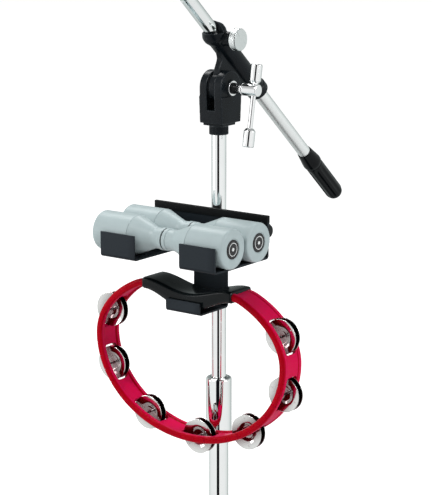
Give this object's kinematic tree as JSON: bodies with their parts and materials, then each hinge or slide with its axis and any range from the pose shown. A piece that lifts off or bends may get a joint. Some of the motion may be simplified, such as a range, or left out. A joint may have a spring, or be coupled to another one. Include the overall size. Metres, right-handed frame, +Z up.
{
  "type": "percussion holder on a boom stand section",
  "caption": "Stand section with a tilting boom, a bent steel shaker tray clamped to its tube, two double-ended shakers and a tambourine hung from the tray's hook.",
  "frame": {"origin": "centre of the lower tube's bottom end", "axes": "+Z up along the stand tube, +X along the shakers to the right seen from the front, -Y towards the front"},
  "size_m": [0.3201, 0.4102, 0.72],
  "materials": {
    "chrome_tube": "polished chrome plate",
    "chrome_fitting": "polished chrome plate on turned steel",
    "zinc_steel": "bright zinc plated fasteners",
    "black_casting": "black glass-filled nylon, fine satin",
    "black_nylon": "black nylon, smooth",
    "black_powder": "black powder coat, satin, on bent steel sheet",
    "black_rubber": "black rubber, satin",
    "grip_rubber": "black moulded rubber with a soft sheen",
    "shaker_grey": "silver grey moulded ABS, satin",
    "badge_black": "black badge with a plain ring",
    "shaker_shot": "steel shot",
    "ring_red": "red ABS, glossy, slightly translucent",
    "jingle_nickel": "nickel plated steel"
  },
  "bodies": {
    "base": {"lower_tube": "chrome_tube", "clutch_sleeve": "chrome_tube"},
    "clutch_screw": {"clutch_screw": "chrome_fitting"},
    "bushing": {"clutch_bushing": "black_nylon"},
    "post": {"upper_tube": "chrome_tube", "head_collar": "black_casting", "tilter_fork": "black_casting", "friction_discs": "black_nylon", "pivot_nut": "zinc_steel", "pivot_washer": "chrome_fitting", "pivot_cone": "black_nylon"},
    "t_screw": {"pivot_bolt": "zinc_steel", "pivot_hub": "chrome_fitting"},
    "t_bar": {"t_rod": "chrome_fitting", "t_rod_ends": "chrome_fitting"},
    "boom_head": {"boom_clamp": "black_casting"},
    "boom_collet": {"boom_liner": "black_nylon"},
    "boom": {"boom_tube": "chrome_tube", "boom_grip": "grip_rubber", "boom_plug": "black_nylon"},
    "boom_knob": {"boom_screw": "zinc_steel", "boom_knob": "chrome_fitting"},
    "holder_collet": {"holder_liner": "black_nylon"},
    "holder": {"holder_clamp": "black_casting", "holder_clamp_screws": "zinc_steel", "holder_nut": "zinc_steel", "holder_bracket": "black_powder", "tray_edge_strip": "black_rubber"},
    "holder_knob": {"holder_bolt": "zinc_steel", "holder_knob": "black_nylon"},
    "front_shaker": {"front_shaker_left": "shaker_grey", "front_shaker_right": "shaker_grey", "front_shaker_joint": "black_nylon", "front_shaker_caps": "shaker_grey", "front_shaker_badges": "badge_black", "front_shaker_fill": "shaker_shot"},
    "back_shaker": {"back_shaker_left": "shaker_grey", "back_shaker_right": "shaker_grey", "back_shaker_joint": "black_nylon", "back_shaker_caps": "shaker_grey", "back_shaker_badges": "badge_black", "back_shaker_fill": "shaker_shot"},
    "tambourine": {"tambourine_frame": "ring_red", "tambourine_grip": "grip_rubber", "jingle_pins": "zinc_steel"},
    "jingle_pair_1": {"jingles_1": "jingle_nickel"},
    "jingle_pair_2": {"jingles_2": "jingle_nickel"},
    "jingle_pair_3": {"jingles_3": "jingle_nickel"},
    "jingle_pair_4": {"jingles_4": "jingle_nickel"},
    "jingle_pair_5": {"jingles_5": "jingle_nickel"},
    "jingle_pair_6": {"jingles_6": "jingle_nickel"},
    "jingle_pair_7": {"jingles_7": "jingle_nickel"}
  },
  "joints": [
    {"name": "clutch_screw_turn", "type": "hinge", "parent": "base", "child": "clutch_screw", "pos_m": [0, 0, 0.161], "axis": [-0.5945, 0.8041, 0], "continuous": true},
    {"name": "post_turn", "type": "hinge", "parent": "base", "child": "bushing", "pos_m": [0, 0, 0.15], "axis": [0, 0, 1], "continuous": true},
    {"name": "post_height", "type": "slide", "parent": "bushing", "child": "post", "axis": [0, 0, 1], "range_m": [-0.05, 0.04]},
    {"name": "t_screw_turn", "type": "hinge", "parent": "post", "child": "t_screw", "pos_m": [0, 0.003, 0.5555], "axis": [1, 0, 0], "continuous": true},
    {"name": "t_bar_slide", "type": "slide", "parent": "t_screw", "child": "t_bar", "axis": [0, 0.1788, 0.9839], "range_m": [0, 0.038]},
    {"name": "boom_tilt", "type": "hinge", "parent": "post", "child": "boom_head", "pos_m": [0, 0.003, 0.5555], "axis": [1, 0, 0], "range_deg": [-45, 75]},
    {"name": "boom_roll", "type": "hinge", "parent": "boom_head", "child": "boom_collet", "pos_m": [0, 0.03131, 0.58846], "axis": [0, -0.7586, 0.6516], "continuous": true},
    {"name": "boom_reach", "type": "slide", "parent": "boom_collet", "child": "boom", "axis": [0, -0.7586, 0.6516], "range_m": [-0.09, 0.12]},
    {"name": "boom_knob_turn", "type": "hinge", "parent": "boom_head", "child": "boom_knob", "pos_m": [0, -0.00207, 0.61713], "axis": [1, 0, 0], "continuous": true},
    {"name": "holder_height", "type": "slide", "parent": "post", "child": "holder_collet", "axis": [0, 0, 1], "range_m": [-0.045, 0.06]},
    {"name": "holder_turn", "type": "hinge", "parent": "holder_collet", "child": "holder", "pos_m": [0, 0, 0.375], "axis": [0, 0, 1], "continuous": true},
    {"name": "holder_knob_turn", "type": "hinge", "parent": "holder", "child": "holder_knob", "pos_m": [0, 0.023, 0.375], "axis": [1, 0, 0], "continuous": true},
    {"name": "front_shaker_lift", "type": "slide", "parent": "holder", "child": "front_shaker", "axis": [0, 0, 1], "range_m": [0, 0.06]},
    {"name": "back_shaker_lift", "type": "slide", "parent": "holder", "child": "back_shaker", "axis": [0, 0, 1], "range_m": [0, 0.06]},
    {"name": "tambourine_lift", "type": "slide", "parent": "holder", "child": "tambourine", "axis": [0, 0, 1], "range_m": [0, 0.028]},
    {"name": "jingle_1_rattle", "type": "slide", "parent": "tambourine", "child": "jingle_pair_1", "axis": [0, 1, 0], "range_m": [-0.005, 0.005]},
    {"name": "jingle_2_rattle", "type": "slide", "parent": "tambourine", "child": "jingle_pair_2", "axis": [0, 1, 0], "range_m": [-0.005, 0.005]},
    {"name": "jingle_3_rattle", "type": "slide", "parent": "tambourine", "child": "jingle_pair_3", "axis": [0, 1, 0], "range_m": [-0.005, 0.005]},
    {"name": "jingle_4_rattle", "type": "slide", "parent": "tambourine", "child": "jingle_pair_4", "axis": [0, 1, 0], "range_m": [-0.005, 0.005]},
    {"name": "jingle_5_rattle", "type": "slide", "parent": "tambourine", "child": "jingle_pair_5", "axis": [0, 1, 0], "range_m": [-0.005, 0.005]},
    {"name": "jingle_6_rattle", "type": "slide", "parent": "tambourine", "child": "jingle_pair_6", "axis": [0, 1, 0], "range_m": [-0.005, 0.005]},
    {"name": "jingle_7_rattle", "type": "slide", "parent": "tambourine", "child": "jingle_pair_7", "axis": [0, 1, 0], "range_m": [-0.005, 0.005]}
  ]
}
